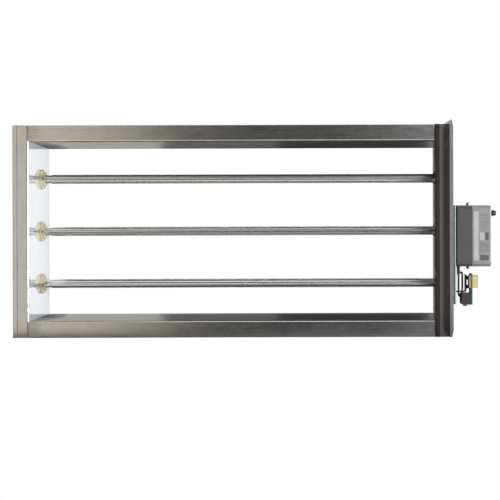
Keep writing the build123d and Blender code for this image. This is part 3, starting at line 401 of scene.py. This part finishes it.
# Label on the cover's front: a plain foil with blank fields, each a share of its width and height
label = {
    "thickMm": 0.12, "inkMm": 0.03, "sideMm": 0.5, "outerMm": 1.6, "endMm": 3.2,
    "dark": [(0.42, 0.06, 0.92, 0.16), (0.72, 0.42, 0.92, 0.56)],
    "grey": [(0.42, 0.2, 0.92, 0.38), (0.42, 0.86, 0.92, 0.88), (0.42, 0.8, 0.8, 0.82),
             (0.42, 0.74, 0.86, 0.76), (0.42, 0.68, 0.7, 0.7)],
    "pale": [(0.06, 0.06, 0.34, 0.94), (0.42, 0.42, 0.66, 0.56)],
}
# Screen print in flat greys, a little less glossy than the foil
printBase = {"roughness": 0.45, "relief": 0.06, "grainMm": 0.5, "cloudMm": 7.0}
printFinishes = {
    "dark": mouldedFinish("dark grey print", dict(printBase, dark="#3a3b3b", light="#4b4c4c")),
    "grey": mouldedFinish("grey print", dict(printBase, dark="#5f6060", light="#737474")),
    "pale": mouldedFinish("pale grey print", dict(printBase, dark="#8f9091", light="#9e9fa0")),
}
# Metallised polyester: grey with a weak metal shine under its clear face
foilFinish = mouldedFinish("silver polyester foil", dict(
    printBase, dark="#737271", light="#858483", roughness=0.35, metallic=0.4))
coverLow, coverHigh = [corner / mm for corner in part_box("gearcase_cover")]
labelLow = Vector((coverLow.x + label["sideMm"], coverLow.y, coverLow.z + label["endMm"]))
labelHigh = Vector((coverHigh.x - label["outerMm"], coverLow.y, coverHigh.z - label["endMm"]))
labelWide = labelHigh.x - labelLow.x
labelTall = labelHigh.z - labelLow.z
printFace = coverLow.y - label["thickMm"]
addBlock("foilLabel", (labelLow.x, printFace, labelLow.z), (labelHigh.x, coverLow.y, labelHigh.z),
         foilFinish)
for ink, finish in printFinishes.items():
    for count, (left, bottom, right, top) in enumerate(label[ink]):
        low = (labelLow.x + left * labelWide, printFace - label["inkMm"], labelLow.z + bottom * labelTall)
        high = (labelLow.x + right * labelWide, printFace, labelLow.z + top * labelTall)
        addBlock("%sField%d" % (ink, count), low, high, finish)
print("label placed")

# Pale floor under the frame's bottom flanges, sizes in metres
floorLook = {"paper": "#8d8d8b", "roughness": 0.9, "glow": 1.0,
             "left": -1.6, "right": 1.6, "front": -0.1, "back": 0.15}
# Uncoated paper: flat white to the eye, like a light table, but dim in the metal's reflections
floorMaterial, floorTree, floorShader = startMaterial("white paper")
floorShader.inputs["Base Color"].default_value = hexToLinear(floorLook["paper"])
floorShader.inputs["Roughness"].default_value = floorLook["roughness"]
floorPath = addNode(floorTree, "ShaderNodeLightPath")
floorGlow = addNode(floorTree, "ShaderNodeEmission", {"Color": whiteLight, "Strength": floorLook["glow"]})
floorChoice = addNode(floorTree, "ShaderNodeMixShader", {0: floorPath.outputs["Is Camera Ray"]})
floorTree.links.new(floorShader.outputs["BSDF"], floorChoice.inputs[1])
floorTree.links.new(floorGlow.outputs["Emission"], floorChoice.inputs[2])
floorTree.links.new(floorChoice.outputs["Shader"], floorTree.nodes["Material Output"].inputs["Surface"])
floorMesh = bpy.data.meshes.new("floor")
floorZ = startBounds[0].z
floorMesh.from_pydata([
    (floorLook["left"], floorLook["front"], floorZ), (floorLook["right"], floorLook["front"], floorZ),
    (floorLook["right"], floorLook["back"], floorZ), (floorLook["left"], floorLook["back"], floorZ)],
    [], [(0, 1, 2, 3)])
floorMesh.materials.append(floorMaterial)
floor = bpy.data.objects.new("floor", floorMesh)
bpy.context.scene.collection.objects.link(floor)
print("floor laid")

# Soft studio light: a white surround behind the object, a dim room in the reflections, and soft boxes
studio = {"room": 0.045, "backdrop": 1.0}
world = bpy.data.worlds.new("studio")
bpy.context.scene.world = world
world.use_nodes = True
worldTree = world.node_tree
worldTree.nodes.clear()
path = addNode(worldTree, "ShaderNodeLightPath")
room = addNode(worldTree, "ShaderNodeBackground", {"Color": whiteLight, "Strength": studio["room"]})
white = addNode(worldTree, "ShaderNodeBackground", {"Color": whiteLight, "Strength": studio["backdrop"]})
choice = addNode(worldTree, "ShaderNodeMixShader", {0: path.outputs["Is Camera Ray"]})
worldTree.links.new(room.outputs["Background"], choice.inputs[1])
worldTree.links.new(white.outputs["Background"], choice.inputs[2])
addNode(worldTree, "ShaderNodeOutputWorld", {"Surface": choice.outputs["Shader"]})


def addSoftBox(name, look):
    light = bpy.data.lights.new(name, "AREA")
    light.shape = "RECTANGLE"
    light.size, light.size_y = look["size"]
    light.energy = look["watts"]
    light.color = hexToLinear(look["colour"])[:3]
    lamp = bpy.data.objects.new(name, light)
    lamp.location = look["place"]
    aim = Vector(look["aim"]) - Vector(look["place"])
    lamp.rotation_euler = aim.to_track_quat("-Z", "Y").to_euler()
    lamp.visible_camera = False
    bpy.context.scene.collection.objects.link(lamp)


softBoxes = {      # places and sizes in metres
    "leftBox": {      # the warm shine that fades along the front flanges
        "place": (-1.42, -1.5, -0.1), "aim": (-0.3, 0, 0), "size": (1.9, 1.8), "watts": 11.5,
        "colour": "#fff6ea"},
    "farWallBox": {      # small, and aimed past the plate at the left wall
        "place": (1.9, -0.72, 0.0), "aim": (-0.49, 0, 0), "size": (0.3, 0.16), "watts": 66,
        "colour": "#ffffff"},
    "backLeftBox": {      # the light that the blades and end walls mirror at their left ends
        "place": (-0.98, 2.0, 0.0), "aim": (-0.3, 0, 0), "size": (0.8, 0.9), "watts": 1.4,
        "colour": "#fffaf2"},
    "backMidBox": {      # the same, much weaker, at their middle
        "place": (-0.4, 2.0, 0.0), "aim": (-0.3, 0, 0), "size": (0.4, 0.9), "watts": 0.14,
        "colour": "#ffffff"},
    "topBox": {
        "place": (-0.2, -0.9, 1.6), "aim": (-0.2, 0, 0), "size": (2.4, 1.0), "watts": 18,
        "colour": "#f6f8ff"},
    "lowBox": {
        "place": (-0.1, -1.3, -1.2), "aim": (-0.2, 0, 0), "size": (2.4, 0.8), "watts": 13,
        "colour": "#fffdfa"},
    "farCard": {      # what the left wall mirrors
        "place": (1.31, 7.0, 0), "aim": (-0.49, 0, 0), "size": (0.34, 1.9), "watts": 2.05,
        "colour": "#f7fbff"},
    "rearBox": {
        "place": (-0.2, 1.3, 2.2), "aim": (-0.2, 0, 0), "size": (2.2, 1.2), "watts": 34,
        "colour": "#ffffff"},
    "rearLowBox": {
        "place": (1.3, 2.2, 0.5), "aim": (-0.2, 0, 0), "size": (0.9, 1.4), "watts": 5,
        "colour": "#ffffff"},
    "sideBox": {      # the outside of the plate, for the views from the right
        "place": (1.9, 1.3, -0.7), "aim": (0, 0, 0), "size": (1.9, 1.8), "watts": 26,
        "colour": "#ffffff"},
    "rightBox": {      # the actuator's front and the right ends of the flanges
        "place": (1.13, -2.0, 0.1), "aim": (0, 0, 0), "size": (0.7, 1.2), "watts": 24,
        "colour": "#fafbff"},
}
for name, look in softBoxes.items():
    addSoftBox(name, look)
print("soft boxes:", len(softBoxes))

# Camera level and a little over a metre in front of the frame, left of the actuator
view = {"place": (-0.2006, -1.151, 0.0015), "tiltDeg": 90.0, "rollDeg": 0.17, "lensMm": 68.2,
        "sensorMm": 36.0, "shiftX": -0.054, "shiftY": -0.0408, "clipStart": 0.05}
camera = bpy.data.objects.new("camera", bpy.data.cameras.new("camera"))
camera.location = view["place"]
camera.rotation_euler = (math.radians(view["tiltDeg"]), math.radians(view["rollDeg"]), 0)
camera.data.lens = view["lensMm"]
camera.data.sensor_width = view["sensorMm"]
camera.data.shift_x = view["shiftX"]
camera.data.shift_y = view["shiftY"]
camera.data.clip_start = view["clipStart"]
bpy.context.scene.collection.objects.link(camera)
bpy.context.scene.camera = camera
bpy.context.scene.view_settings.view_transform = "Standard"
print("camera set")

bpy.context.view_layer.update()
